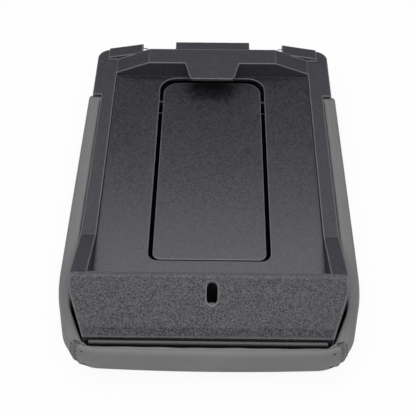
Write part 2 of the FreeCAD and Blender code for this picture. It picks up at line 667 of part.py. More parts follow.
# Pocket insert: raised island in the window, on six posts that stand on the shell's floor
insert_top = "(liner_height - pocket_depth)"
insert_half = "(window_width/2 - pocket_gap)"
insert_front, insert_back = f"({WINDOW_FRONT} + pocket_gap)", f"({WINDOW_BACK} - pocket_gap)"
insert = Piece("pocket_insert")
insert.add("XY_Plane", [rectangle(insert_half, insert_front, insert_back)], f"{insert_top} - insert_skirt",
           "insert_skirt")
insert.round("window_front_radius - pocket_gap/2",
             lambda edge: upright(edge, front=insert_front, back=insert_front))
insert.round("window_back_radius - pocket_gap/2",
             lambda edge: upright(edge, front=insert_back, back=insert_back))
insert.cut("XY_Plane", [rectangle(f"{insert_half} - 3*insert_wall", f"{insert_front} + 3*insert_wall",
                                  f"{insert_back} - 3*insert_wall")], f"{insert_top} - insert_skirt - 1",
           "insert_skirt - insert_wall + 1")
post_circles = [((f"{side}*0.6*{insert_half}", f"{SCREW_MIDDLE} + {step}*screw_pitch/2"), "post_radius")
                for side in SIDES for step in (-1.5, 0.5, 1.5)]
insert.add("XY_Plane", [], SEAT, f"{insert_top} - insert_wall/2 - {SEAT}", circles=post_circles)

# Rear cap: closes the hinge end on the padded side
cap = Piece("cap_block")
cap.add("XY_Plane", [rectangle("hinge_width/2", CAP_FRONT, CAP_END)], "cap_bottom",
        "cap_height - cap_bottom")
cap.round("hinge_corner_radius", lambda edge: upright(edge, front=FAR_RIM))
cap.round("cap_radius", lambda edge: level(edge, "cap_bottom"))
cap_core = Piece("cap_core")
cap_core.add("XY_Plane",
             [rectangle("hinge_width/2 - cap_wall", f"{CAP_FRONT} + cap_wall", f"{CAP_END} - cap_wall")],
             "cap_bottom + cap_wall", "cap_height - cap_bottom")
cap_core.round("hinge_corner_radius - cap_wall", lambda edge: upright(edge, front=FAR_RIM))
cap_core.round("cap_radius - cap_wall", lambda edge: level(edge, "cap_bottom + cap_wall"))
cap_notch = box("cap_notch", ("-end_notch_width/2", f"{CAP_FRONT} - 1", "end_notch_height"),
                ("end_notch_width/2", f"{CAP_FRONT} + 2*cap_wall", "cap_height + 1"))
cap_tray = less("cap_tray", cap.body, cap_core.body, cap_notch)
tower_top = "(cap_height - cap_wall - fit_gap)"
towers, tower_bores = [cap_tray], []
for side, name in zip(SIDES, ("left", "right")):
    x, y = f"{side}*cap_screw_x", f"{CAP_FRONT} + cap_screw_set"
    towers.append(cylinder(f"cap_tower_{name}", (x, y, "cap_bottom + cap_wall/2"), "cap_tower_radius",
                           f"{tower_top} - cap_bottom - cap_wall/2"))
    tower_bores.append(cylinder(f"cap_access_{name}", (x, y, "cap_bottom - 1"),
                                "screw_head_radius + trim_gap",
                                f"{tower_top} - cap_wall - cap_bottom + 1"))
    tower_bores.append(cylinder(f"cap_hole_{name}", (x, y, f"{tower_top} - cap_wall - 1"), screw_hole,
                                "cap_wall + 2"))
rear_cap = less("rear_cap", joined("cap_with_towers", *towers), grouped("cap_bores", *tower_bores))

# Latch housing: wedge with the latch slot, open underneath, with two brackets for the lever's pin
housing_half = "housing_width/2"
taper_end = f"({RIDGE_FRONT} - housing_taper + ridge_depth)"
housing_plan = mirrored([("housing_front_width/2", LIP), (housing_half, taper_end),
                         (housing_half, RIDGE_BACK)])
housing = Piece("housing_body")
housing.add("XY_Plane", [housing_plan], SEAT, f"ridge_height - {SEAT}")
housing.cut("YZ_Plane", [[(LIP, "lip_height"), (CREASE, "crease_height"), (RIDGE_FRONT, "ridge_height"),
                          (RIDGE_FRONT, "ridge_height + 1"), (f"{LIP} - 1", "ridge_height + 1"),
                          (f"{LIP} - 1", "lip_height")]], "-cover_width/2", "cover_width")
housing.round("housing_corner_radius", lambda edge: upright(edge, front=taper_end, back=taper_end))
housing.round("ridge_radius", lambda edge: edge.BoundBox.ZMin > value("crease_height") - NEAR
              and edge.BoundBox.XLength > value("housing_width/2"))
face_slope = "((ridge_height - crease_height)/(ridge_set - crease_set))"


def face_height(place):
    """Height of the housing's sloped face at a distance from the front."""
    return f"(crease_height + ({place} - crease_set)*{face_slope})"


lever_way = "(bar_height - lever_thickness)"
housing_inner = "(housing_front_width/2 - 2.5*housing_wall)"
housing.cut("YZ_Plane",
            [[(f"{LIP} + housing_wall", f"{SEAT} - 1"), (f"{RIDGE_BACK} - housing_wall", f"{SEAT} - 1"),
                          (f"{RIDGE_BACK} - housing_wall", "ridge_height - housing_wall"),
                          (f"{RIDGE_FRONT} + 0.25*housing_wall", "ridge_height - housing_wall"),
                          (CREASE, "crease_height - 1.25*housing_wall"),
                          (f"{LIP} + housing_wall", "lip_height - 0.5*housing_wall")]],
            f"-{housing_inner}", f"2*{housing_inner}")
housing.cut("YZ_Plane", [[(f"{LIP} - 1", f"{SEAT} - 1"), (f"{LIP} + housing_wall + 1", f"{SEAT} - 1"),
                          (f"{LIP} + housing_wall + 1", lever_way), (f"{LIP} - 1", lever_way)]],
            f"-{housing_inner}", f"2*{housing_inner}")
slot_low, slot_high = "(slot_offset - slot_width/2)", "(slot_offset + slot_width/2)"
slot_front = f"({FRONT} + slot_set + slot_width/2)"
slot_back = f"({FRONT} + slot_set + slot_length - slot_width/2)"
slot_bottom = "(crease_height - housing_wall)"
housing.cut("XY_Plane",
            [[(slot_low, slot_front), (slot_high, slot_front), (slot_high, slot_back),
              (slot_low, slot_back)]],
            slot_bottom, "ridge_height")
for place in (slot_front, slot_back):
    housing.cut("XY_Plane", [], slot_bottom, "ridge_height",
                circles=[(("slot_offset", place), "slot_width/2")])
bracket = [(f"{PIVOT} - 6", "pivot_height - 6"), (f"{PIVOT} + 6", "pivot_height - 6"),
           (f"{PIVOT} + 6", f"{face_height('(pivot_set + 6)')} - 0.6*housing_wall"),
           (f"{PIVOT} - 6", f"{face_height('(pivot_set - 6)')} - 0.6*housing_wall")]
for start in (BRACKET_LEFT, BRACKET_RIGHT):
    housing.add("YZ_Plane", [bracket], start, "bracket_thickness")
    housing.cut("YZ_Plane", [], start, "bracket_thickness",
                circles=[((PIVOT, "pivot_height"), "pin_radius + pin_play/2")])
housing_posts = [cylinder(f"housing_post_{name}",
                          (f"{side}*housing_screw_x", RIDGE_BACK, "housing_screw_height"),
                          "boss_radius", "screw_length + 2", TURN_TO_Y) for side,
                 name in zip(SIDES, ("left", "right"))]
post_bores = [cylinder(f"housing_bore_{name}",
                       (f"{side}*housing_screw_x", f"{RIDGE_BACK} + 1", "housing_screw_height"),
                       "screw_radius + pin_play", "screw_length + 1", TURN_TO_Y) for side,
              name in zip(SIDES, ("left", "right"))]
latch_housing = less("latch_housing", joined("housing_solid", housing.body, *housing_posts),
                     grouped("housing_bores", *post_bores))

# Release bar with its lever, turning on the latch pin
bar_front, bar_back = f"({FRONT} + bar_set)", f"({FRONT} + bar_set + bar_depth)"
lever_top = "(bar_height - bar_drop/2)"
lever_bottom = f"({lever_top} - lever_thickness)"
release = Piece("release_bar")
release.add("YZ_Plane",
            [[(bar_front, "bar_height - bar_drop"), (bar_back, "bar_height - bar_drop"),
              (bar_back, "bar_height"),
                          (bar_front, "bar_height")]], "-bar_width/2", "bar_width")
release.round("bar_depth*0.4", lambda edge: edge.BoundBox.XLength > NEAR)
lever_plan = [("lever_front_width/2 + slot_offset", f"{bar_back} - bar_depth/2"),
              ("lever_front_width/2 + slot_offset", f"{LIP} + 8"),
              ("lever_width/2 + slot_offset", f"{PIVOT} - 8"), ("lever_width/2 + slot_offset", PIVOT)]
lever_plan += [(x.replace("/2 +", "/-2 +"), y) for x, y in reversed(lever_plan)]
release.add("XY_Plane", [lever_plan], lever_bottom, "lever_thickness")
release.add("YZ_Plane", [], BOSS_LEFT, "lever_boss_length",
            circles=[((PIVOT, "pivot_height"), "lever_boss_radius")])
release.add("XY_Plane",
            [[("slot_offset - pawl_width", f"{PIVOT} - pawl_depth/2"),
              ("slot_offset + pawl_width", f"{PIVOT} - pawl_depth/2"),
                          ("slot_offset + pawl_width", f"{PIVOT} + pawl_depth/2"),
              ("slot_offset - pawl_width", f"{PIVOT} + pawl_depth/2")]],
            "pivot_height", "pawl_seat_height - pivot_height")
release.cut("YZ_Plane", [], f"{BOSS_LEFT} - 1", "lever_boss_length + 2",
            circles=[((PIVOT, "pivot_height"), "pin_radius + pin_play")])

# Latch pawl: hook on the lever behind the slot
hook = [(f"{PIVOT} - pawl_depth/2", "pawl_seat_height"), (f"{PIVOT} + pawl_depth/2", "pawl_seat_height"),
        (f"{PIVOT} + pawl_depth/2", "pawl_tip_height - 4"), (f"{PIVOT} + pawl_depth/6", "pawl_tip_height"),
        (f"{PIVOT} - pawl_depth/2", "pawl_tip_height"),
        (f"{PIVOT} - pawl_depth/2 - pawl_nose", "pawl_tip_height - 3"),
        (f"{PIVOT} - pawl_depth/4", "pawl_tip_height - 4"),
        (f"{PIVOT} - pawl_depth/4", "pawl_tip_height - 7"),
        (f"{PIVOT} - pawl_depth/2", "pawl_tip_height - 9")]
pawl = Piece("latch_pawl")
pawl.add("YZ_Plane", [hook], "slot_offset - pawl_width/2", "pawl_width")

# Latch pin and its spring
latch_pin = cylinder("latch_pin", (f"{BRACKET_LEFT} - pin_overhang", PIVOT, "pivot_height"), "pin_radius",
                     f"{BRACKET_RIGHT} - {BRACKET_LEFT} + bracket_thickness + 2*pin_overhang", TURN_TO_X)
coil_radius = "(pin_radius + 1.5*spring_wire)"
coil_start = f"({BOSS_RIGHT} + bracket_clearance/2 + spring_wire)"
coil = document.addObject("Part::Helix", "spring_path")
coil.Placement = FreeCAD.Placement(FreeCAD.Vector(), TURN_TO_X)
ring = document.addObject("Part::Circle", "spring_section")
ring.Placement = FreeCAD.Placement(FreeCAD.Vector(), FreeCAD.Rotation(FreeCAD.Vector(1, 0, 0), -90))
for solid, drop in ((coil, "0"), (ring, coil_radius)):
    for axis, place in zip("xyz", (coil_start, PIVOT, f"pivot_height - {drop}")):
        solid.setExpression(f"Placement.Base.{axis}", bound(place))
coil.SegmentLength = 0.25
coil.setExpression("Radius", bound(coil_radius))
coil.setExpression("Pitch", bound("spring_pitch"))
coil.setExpression("Height", bound("spring_pitch*spring_turns"))
ring.setExpression("Radius", bound("spring_wire/2"))
document.recompute()
latch_spring = document.addObject("Part::Sweep", "latch_spring")
latch_spring.Sections = [ring]
latch_spring.Spine = (coil, [f"Edge{i + 1}" for i in range(len(coil.Shape.Edges))])
latch_spring.Solid = True
latch_spring.Frenet = True


def screw(label, base, length, turn=None):
    """A pan-head screw whose head rests at the base point and whose shank runs away from the head."""
    direction = (turn or FreeCAD.Rotation()).multVec(FreeCAD.Vector(0, 0, 1))
    shank = cylinder(f"{label}_shank", base, "screw_radius", length, turn)
    back = tuple(f"{place} - ({round(part)}*screw_head_height)" for place, part in zip(base, direction))
    head = cylinder(f"{label}_head", back, "screw_head_radius", "screw_head_height", turn)
    return joined(label, shank, head)


frame_screws = grouped("frame_screws", *[
    screw(f"frame_screw_{number}", (x, y, LEDGE_TOP), "screw_length", TURN_DOWN)
    for number, (x, y, side, step) in enumerate(screw_places, start=1)])
housing_screws = grouped("housing_screws", *[
    screw(f"housing_screw_{name}", (f"{side}*housing_screw_x", OPENING_FRONT, "housing_screw_height"),
          "screw_length", TURN_TO_Y)
    for side, name in zip(SIDES, ("left", "right"))])
cap_screws = grouped("cap_screws", *[
    screw(f"cap_screw_{name}",
          (f"{side}*cap_screw_x", f"{CAP_FRONT} + cap_screw_set", f"{tower_top} - cap_wall"),
          "cap_screw_length")
    for side, name in zip(SIDES, ("left", "right"))])
document.recompute()

NODES = [cover_skin, foam_pad, lid_shell, inner_frame, liner.body, insert.body, latch_housing, release.body,
         pawl.body,
         latch_pin, latch_spring, hinge_pin_left, hinge_pin_right, rear_cap, frame_screws, housing_screws,
         cap_screws]

faults = [f"{thing.Label}: {thing.State}" for thing in document.Objects
          if "Invalid" in thing.State or "Error" in thing.State]
faults += [f"{node.Label}: no valid shape" for node in NODES if node.Shape.isNull()
           or not node.Shape.isValid()]
if faults:
    raise RuntimeError("; ".join(faults))
os.makedirs("parts", exist_ok=True)
for node in NODES:
    node.Shape.exportStep(f"parts/{node.Label}.step")
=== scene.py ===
"""Looks of the console lid: sewn grey cover, black moulded plastics, light, floor and camera."""
import logging
import math
from dataclasses import dataclass, field
from enum import Enum

import bpy
import numpy as np
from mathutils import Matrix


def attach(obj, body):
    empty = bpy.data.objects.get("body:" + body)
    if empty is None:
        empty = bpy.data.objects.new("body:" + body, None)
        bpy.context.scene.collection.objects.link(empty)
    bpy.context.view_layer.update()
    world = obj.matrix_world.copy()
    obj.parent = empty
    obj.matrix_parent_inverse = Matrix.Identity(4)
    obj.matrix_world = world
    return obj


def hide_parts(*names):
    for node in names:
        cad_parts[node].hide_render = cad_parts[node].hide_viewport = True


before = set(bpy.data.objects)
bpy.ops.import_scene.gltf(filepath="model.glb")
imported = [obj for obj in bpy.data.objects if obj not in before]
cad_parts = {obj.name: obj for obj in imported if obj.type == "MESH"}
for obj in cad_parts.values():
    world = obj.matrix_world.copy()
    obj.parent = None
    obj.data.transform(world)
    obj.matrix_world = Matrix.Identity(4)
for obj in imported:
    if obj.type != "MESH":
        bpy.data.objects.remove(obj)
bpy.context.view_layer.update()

MM = 0.001
LOG = logging.getLogger("console_lid")


class Slot(Enum):
    """Finishes of the lid. All but the thread are material slots of the record."""

    VINYL = "cover_vinyl"
    THREAD = "seam_thread"
    SMOOTH = "smooth_plastic"
    GRAINED = "grained_plastic"
    COARSE = "coarse_plastic"
    INNER = "inner_plastic"
    GLOSS = "gloss_plastic"
    STEEL = "steel"


class Body(Enum):
    """Rigid bodies that the new pieces ride on."""

    LID = "lid"


class NodeTree:
    """Small helper that adds and joins shader nodes."""

    def __init__(self, tree: bpy.types.NodeTree) -> None:
        """Keeps the tree that the nodes go into."""
        self.tree = tree

    def add(self, kind: str, **settings: object) -> bpy.types.Node:
        """Adds a node and sets its properties.

        Args:
            kind: the node's type name.
            settings: properties of the node, or sockets by their name with spaces as underscores.

        Returns:
            The new node.
        """
        node = self.tree.nodes.new(kind)
        for name, value in settings.items():
            if hasattr(node, name):
                setattr(node, name, value)
            else:
                node.inputs[name.replace("_", " ")].default_value = value
        return node

    def join(self, source: bpy.types.NodeSocket, target: bpy.types.NodeSocket) -> None:
        """Links two sockets."""
        self.tree.links.new(source, target)


class GroupKind(Enum):
    """Shared surface effects."""

    GRAIN = "moulded_grain"
    HIDE = "vinyl_hide"
    TONE = "tone_drift"
    EDGE = "rounded_edge"


class EffectLibrary:
    """Shader node groups that several finishes place with their own values."""

    def __init__(self) -> None:
        """Starts with no group built."""
        self._built: dict[GroupKind, bpy.types.NodeTree] = {}

    def get(self, kind: GroupKind) -> bpy.types.NodeTree:
        """Gives a group, building it the first time.

        Args:
            kind: which effect.

        Returns:
            The node group.
        """
        if kind not in self._built:
            makers = {GroupKind.GRAIN: self._grain, GroupKind.HIDE: self._hide, GroupKind.TONE: self._tone,
                      GroupKind.EDGE: self._edge}
            self._built[kind] = makers[kind]()
        return self._built[kind]

    def _start(self, kind: GroupKind, inputs: tuple[str, ...], outputs: tuple[str, ...]) -> NodeTree:
        """Opens a group with float inputs and outputs beside its coordinate input."""
        group = bpy.data.node_groups.new(kind.value, "ShaderNodeTree")
        group.interface.new_socket("Vector", in_out="INPUT", socket_type="NodeSocketVector")
        for name in inputs:
            group.interface.new_socket(name, in_out="INPUT", socket_type="NodeSocketFloat")
        for name in outputs:
            group.interface.new_socket(name, in_out="OUTPUT", socket_type="NodeSocketFloat")
        return NodeTree(group)

    def _grain(self) -> bpy.types.NodeTree:
        """Moulded plastic grain: rounded cells with fine noise over them, each cell with its own tone."""
        tree = self._start(GroupKind.GRAIN, ("Scale", "Fine"), ("Height", "Mask"))
        source, sink = tree.add("NodeGroupInput"), tree.add("NodeGroupOutput")
        cells = tree.add("ShaderNodeTexVoronoi", feature="SMOOTH_F1", Smoothness=0.35)
        noise = tree.add("ShaderNodeTexNoise", Detail=3.0)
        finer = tree.add("ShaderNodeMath", operation="MULTIPLY")
        finer.inputs[1].default_value = 2.3
        channel = tree.add("ShaderNodeSeparateColor")
        contrast = tree.add("ShaderNodeMapRange")
        contrast.inputs["From Min"].default_value = 0.2
        contrast.inputs["From Max"].default_value = 0.8
        weigh = tree.add("ShaderNodeMath", operation="MULTIPLY")
        total = tree.add("ShaderNodeMath", operation="ADD")
        for texture in (cells, noise):
            tree.join(source.outputs["Vector"], texture.inputs["Vector"])
        tree.join(source.outputs["Scale"], cells.inputs["Scale"])
        tree.join(source.outputs["Scale"], finer.inputs[0])
        tree.join(finer.outputs[0], noise.inputs["Scale"])
        tree.join(noise.outputs["Fac"], weigh.inputs[0])
        tree.join(source.outputs["Fine"], weigh.inputs[1])
        tree.join(cells.outputs["Distance"], total.inputs[0])
        tree.join(weigh.outputs[0], total.inputs[1])
        tree.join(total.outputs[0], sink.inputs["Height"])
        tree.join(cells.outputs["Color"], channel.inputs[0])
        tree.join(channel.outputs[0], contrast.inputs["Value"])
        tree.join(contrast.outputs["Result"], sink.inputs["Mask"])
        return tree.tree

    def _edge(self) -> bpy.types.NodeTree:
        """Rounded edges: a softened normal, and a mask that grows where it turns away from the face; the
        finishes lighten the base colour by this mask as a painted highlight along edges.
        """
        tree = self._start(GroupKind.EDGE, ("Radius",), ("Mask",))
        tree.tree.interface.new_socket("Normal", in_out="OUTPUT", socket_type="NodeSocketVector")
        source, sink = tree.add("NodeGroupInput"), tree.add("NodeGroupOutput")
        soft = tree.add("ShaderNodeBevel", samples=6)
        face = tree.add("ShaderNodeNewGeometry")
        turn = tree.add("ShaderNodeVectorMath", operation="DOT_PRODUCT")
        mask = tree.add("ShaderNodeMapRange")
        mask.inputs["From Min"].default_value = 0.999
        mask.inputs["From Max"].default_value = 0.955
        tree.join(source.outputs["Radius"], soft.inputs["Radius"])
        tree.join(soft.outputs["Normal"], turn.inputs[0])
        tree.join(face.outputs["Normal"], turn.inputs[1])
        tree.join(turn.outputs["Value"], mask.inputs["Value"])
        tree.join(mask.outputs["Result"], sink.inputs["Mask"])
        tree.join(soft.outputs["Normal"], sink.inputs["Normal"])
        return tree.tree

    def _hide(self) -> bpy.types.NodeTree:
        """Vinyl hide grain: creased cells of two sizes, warped by a slow noise."""
        tree = self._start(GroupKind.HIDE, ("Scale", "Warp"), ("Height", "Mask"))
        source, sink = tree.add("NodeGroupInput"), tree.add("NodeGroupOutput")
        drift = tree.add("ShaderNodeTexNoise", Scale=160.0, Detail=2.0)
        push = tree.add("ShaderNodeVectorMath", operation="SCALE")
        moved = tree.add("ShaderNodeVectorMath", operation="ADD")
        cells = tree.add("ShaderNodeTexVoronoi", feature="DISTANCE_TO_EDGE")
        crease = tree.add("ShaderNodeMapRange", interpolation_type="SMOOTHSTEP")
        crease.inputs["From Max"].default_value = 0.22
        fine = tree.add("ShaderNodeTexNoise", Scale=2600.0, Detail=2.0)
        weigh = tree.add("ShaderNodeMath", operation="MULTIPLY_ADD")
        weigh.inputs[1].default_value = 0.35
        tree.join(source.outputs["Vector"], drift.inputs["Vector"])
        tree.join(drift.outputs["Color"], push.inputs[0])
        tree.join(source.outputs["Warp"], push.inputs["Scale"])
        tree.join(source.outputs["Vector"], moved.inputs[0])
        tree.join(push.outputs[0], moved.inputs[1])
        tree.join(moved.outputs[0], cells.inputs["Vector"])
        tree.join(source.outputs["Scale"], cells.inputs["Scale"])
        tree.join(source.outputs["Vector"], fine.inputs["Vector"])
        tree.join(cells.outputs["Distance"], crease.inputs["Value"])
        tree.join(fine.outputs["Fac"], weigh.inputs[0])
        tree.join(crease.outputs["Result"], weigh.inputs[2])
        tree.join(weigh.outputs[0], sink.inputs["Height"])
        tree.join(crease.outputs["Result"], sink.inputs["Mask"])
        return tree.tree

    def _tone(self) -> bpy.types.NodeTree:
        """Slow drift of tone over a surface, from handling and dust."""
        tree = self._start(GroupKind.TONE, ("Scale", "Low", "High"), ("Value",))
        source, sink = tree.add("NodeGroupInput"), tree.add("NodeGroupOutput")
        noise = tree.add("ShaderNodeTexNoise", Detail=5.0, Roughness=0.6)
        span = tree.add("ShaderNodeMapRange")
        tree.join(source.outputs["Vector"], noise.inputs["Vector"])
        tree.join(source.outputs["Scale"], noise.inputs["Scale"])
        tree.join(noise.outputs["Fac"], span.inputs["Value"])
        tree.join(source.outputs["Low"], span.inputs["To Min"])
        tree.join(source.outputs["High"], span.inputs["To Max"])
        tree.join(span.outputs["Result"], sink.inputs["Value"])
        return tree.tree


COOL_SHEEN = (0.95, 0.94, 1.0)


@dataclass(frozen=True)
class Finish:
    """One surface finish: colour and tone, roughness, relief, edge softness and a painted highlight along edges.

    Sizes of the relief are counts per metre on Object coordinates; depth and edge are metres.
    """

    slot: Slot
    dark: tuple[float, float, float]
    light: tuple[float, float, float]
    rough_low: float
    rough_high: float
    relief: GroupKind
    relief_scale: float
    relief_extra: float
    relief_depth: float
    relief_strength: float
    edge: float = 0.0005
    # Painted highlight: added to the light colour where the edge mask lightens the base colour along edges.
    edge_highlight_tone: float = 0.0
    metallic: float = 0.0
    coat: float = 0.0
    specular: float = 0.5
    relief_tone: float = 0.3
    relief_rough: float = 0.0
    tone_scale: float = 24.0
    tint: tuple[float, float, float] = (1.0, 1.0, 1.0)

    def material(self, effects: EffectLibrary) -> bpy.types.Material:
        """Builds the finish's material.

        Args:
            effects: the shared node groups.

        Returns:
            The material, named after its slot.
        """
        material = bpy.data.materials.new(self.slot.value)
        material.use_nodes = True
        tree = NodeTree(material.node_tree)
        tree.tree.nodes.clear()
        out = tree.add("ShaderNodeOutputMaterial")
        shader = tree.add("ShaderNodeBsdfPrincipled", Metallic=self.metallic)
        shader.inputs["Coat Weight"].default_value = self.coat
        shader.inputs["Coat Roughness"].default_value = 0.12
        shader.inputs["Specular IOR Level"].default_value = self.specular
        shader.inputs["Specular Tint"].default_value = (*self.tint, 1.0)
        place = tree.add("ShaderNodeTexCoord")
        relief = tree.add("ShaderNodeGroup", node_tree=effects.get(self.relief))
        relief.inputs["Scale"].default_value = self.relief_scale
        relief.inputs[2].default_value = self.relief_extra
        tone = tree.add("ShaderNodeGroup", node_tree=effects.get(GroupKind.TONE))
        tone.inputs["Scale"].default_value = self.tone_scale
        tone.inputs["High"].default_value = 1.0 - self.relief_tone
        worn = tree.add("ShaderNodeMath", operation="MULTIPLY_ADD", use_clamp=True)
        worn.inputs[1].default_value = self.relief_tone
        colour = tree.add("ShaderNodeMix", data_type="RGBA")
        colour.inputs["A"].default_value = (*self.dark, 1.0)
        colour.inputs["B"].default_value = (*self.light, 1.0)
        patchy = tree.add("ShaderNodeMath", operation="MULTIPLY_ADD", use_clamp=True)
        patchy.inputs[1].default_value = self.relief_rough
        rough = tree.add("ShaderNodeGroup", node_tree=effects.get(GroupKind.TONE))
        rough.inputs["Scale"].default_value = self.tone_scale * 2.7
        rough.inputs["Low"].default_value = self.rough_low
        rough.inputs["High"].default_value = self.rough_high
        soft = tree.add("ShaderNodeGroup", node_tree=effects.get(GroupKind.EDGE))
        soft.inputs["Radius"].default_value = self.edge
        # Painted highlight: the base colour turns lighter along edges, by the edge mask, to stand in for light
        # caught on rounded edges.
        painted_edge_highlight = tree.add("ShaderNodeMix", data_type="RGBA")
        painted_edge_highlight.inputs["B"].default_value = (*(channel + self.edge_highlight_tone for channel in self.light), 1.0)
        bump = tree.add("ShaderNodeBump", Strength=self.relief_strength, Distance=self.relief_depth)
        for user in (relief, tone, rough):
            tree.join(place.outputs["Object"], user.inputs["Vector"])
        tree.join(relief.outputs["Mask"], worn.inputs[0])
        tree.join(tone.outputs["Value"], worn.inputs[2])
        tree.join(worn.outputs[0], colour.inputs["Factor"])
        tree.join(soft.outputs["Mask"], painted_edge_highlight.inputs["Factor"])
        tree.join(colour.outputs["Result"], painted_edge_highlight.inputs["A"])
        tree.join(painted_edge_highlight.outputs["Result"], shader.inputs["Base Color"])
        tree.join(relief.outputs["Mask"], patchy.inputs[0])
        tree.join(rough.outputs["Value"], patchy.inputs[2])
        tree.join(patchy.outputs[0], shader.inputs["Roughness"])
        tree.join(relief.outputs["Height"], bump.inputs["Height"])
        tree.join(soft.outputs["Normal"], bump.inputs["Normal"])
        tree.join(bump.outputs["Normal"], shader.inputs["Normal"])
        tree.join(shader.outputs["BSDF"], out.inputs["Surface"])
        return material


FINISHES = (
    Finish(Slot.VINYL, dark=(0.145, 0.145, 0.145), light=(0.200, 0.200, 0.200), rough_low=0.5,
           rough_high=0.62, relief=GroupKind.HIDE, relief_scale=900.0, relief_extra=0.0012, relief_depth=0.00018,
           relief_strength=0.4, specular=0.4, relief_tone=0.35),
    Finish(Slot.THREAD, dark=(0.035, 0.035, 0.035), light=(0.07, 0.07, 0.07), rough_low=0.6, rough_high=0.75,
           relief=GroupKind.GRAIN, relief_scale=2600.0, relief_extra=0.8, relief_depth=0.0001,
           relief_strength=0.4, specular=0.3),
    Finish(Slot.SMOOTH, dark=(0.020, 0.020, 0.024), light=(0.054, 0.054, 0.064), rough_low=0.45,
           rough_high=0.55, relief=GroupKind.GRAIN, relief_scale=1300.0, relief_extra=0.5,
           relief_depth=0.00006, relief_strength=0.2, edge=0.002, edge_highlight_tone=0.14, relief_tone=0.7,
           tint=COOL_SHEEN),
    Finish(Slot.GRAINED, dark=(0.001, 0.001, 0.002), light=(0.032, 0.032, 0.038), rough_low=0.26,
           rough_high=0.32, relief=GroupKind.GRAIN, relief_scale=1100.0, relief_extra=0.8,
           relief_depth=0.00010, relief_strength=0.5, edge=0.0016, edge_highlight_tone=0.14, specular=1.0,
           relief_tone=0.9, relief_rough=0.1, tint=COOL_SHEEN),
    Finish(Slot.COARSE, dark=(0.001, 0.001, 0.002), light=(0.100, 0.100, 0.110), rough_low=0.34,
           rough_high=0.44, relief=GroupKind.GRAIN, relief_scale=1550.0, relief_extra=0.9,
           relief_depth=0.00025, relief_strength=0.6, edge=0.0024, edge_highlight_tone=0.10, relief_tone=1.0,
           relief_rough=0.15, tint=COOL_SHEEN),
    # Painted shade: the inner shell shows only through the gaps and the moat, and its near-black colour with low
    # specular stands in for the deep shade there.
    Finish(Slot.INNER, dark=(0.001, 0.001, 0.001), light=(0.003, 0.003, 0.003), rough_low=0.7, rough_high=0.8,
           relief=GroupKind.GRAIN, relief_scale=1100.0, relief_extra=0.6, relief_depth=0.0002,
           relief_strength=0.3, specular=0.1),
    Finish(Slot.GLOSS, dark=(0.010, 0.010, 0.011), light=(0.016, 0.016, 0.018), rough_low=0.14,
           rough_high=0.22, relief=GroupKind.GRAIN, relief_scale=300.0, relief_extra=0.2, relief_depth=0.00003,
           relief_strength=0.05, edge=0.0006, coat=0.3, relief_tone=0.1),
    Finish(Slot.STEEL, dark=(0.42, 0.42, 0.43), light=(0.55, 0.55, 0.55), rough_low=0.28, rough_high=0.4,
           relief=GroupKind.GRAIN, relief_scale=1500.0, relief_extra=0.4, relief_depth=0.00004,
           relief_strength=0.15, edge=0.0003, metallic=1.0, relief_tone=0.1),
)


class Wardrobe:
    """All finishes of the lid, each built once."""

    def __init__(self) -> None:
        """Builds every material."""
        effects = EffectLibrary()
        self.materials = {finish.slot: finish.material(effects) for finish in FINISHES}

    def dress(self, piece: bpy.types.Object, slot: Slot) -> None:
        """Gives a piece its finish and names its slot.

        Args:
            piece: the object to dress.
            slot: which finish.
        """
        piece.data.materials.clear()
        piece.data.materials.append(self.materials[slot])


class SurfaceMaker:
    """Turns grids of points into closed meshes."""

    @staticmethod
    def closed_bag(name: str, rows: np.ndarray) -> bpy.types.Object:
        """A closed surface from rings of points, its first and last ring drawn to one point each.

        Args:
            name: the object's name.
            rows: points of shape (rings, around, 3); the first and last ring are poles.

        Returns:
            The object, its faces pointing outwards.
        """
        rings, around = rows.shape[0] - 2, rows.shape[1]
        poles = rows[[0, -1], 0]
        points = np.concatenate([rows[1:-1].reshape(-1, 3), poles])
        step = np.arange(around)
        turn = (step + 1) % around
        start = (np.arange(rings - 1) * around)[:, None]
        quads = np.stack([start + step, start + turn, start + around + turn, start + around + step], -1)
        first, last = rings * around, rings * around + 1
        top = (rings - 1) * around
        fans = np.concatenate([np.stack([np.full(around, first), turn, step], -1),
                               np.stack([np.full(around, last), top + step, top + turn], -1)])
        return SurfaceMaker.from_faces(name, points, quads.reshape(-1, 4), fans)

    @staticmethod
    def from_faces(name: str, points: np.ndarray, quads: np.ndarray,
                   triangles: np.ndarray) -> bpy.types.Object:
        """A smooth mesh from points and faces, turned outwards if its volume is negative.

        Args:
            name: the object's name.
            points: vertex places in metres.
            quads: corners of the four-sided faces.
            triangles: corners of the three-sided faces.

        Returns:
            The object, linked into the scene.
        """
        split = np.concatenate([quads[:, [0, 1, 2]], quads[:, [0, 2, 3]], triangles])
        a, b, c = (points[split[:, i]] for i in range(3))
        if np.einsum("ij,ij->", a, np.cross(b, c)) < 0:
            quads, triangles = quads[:, ::-1], triangles[:, ::-1]
        mesh = bpy.data.meshes.new(name)
        mesh.from_pydata(points.tolist(), [], quads.tolist() + triangles.tolist())
        mesh.update()
        mesh.polygons.foreach_set("use_smooth", np.ones(len(mesh.polygons), bool))
        piece = bpy.data.objects.new(name, mesh)
        bpy.context.scene.collection.objects.link(piece)
        return piece


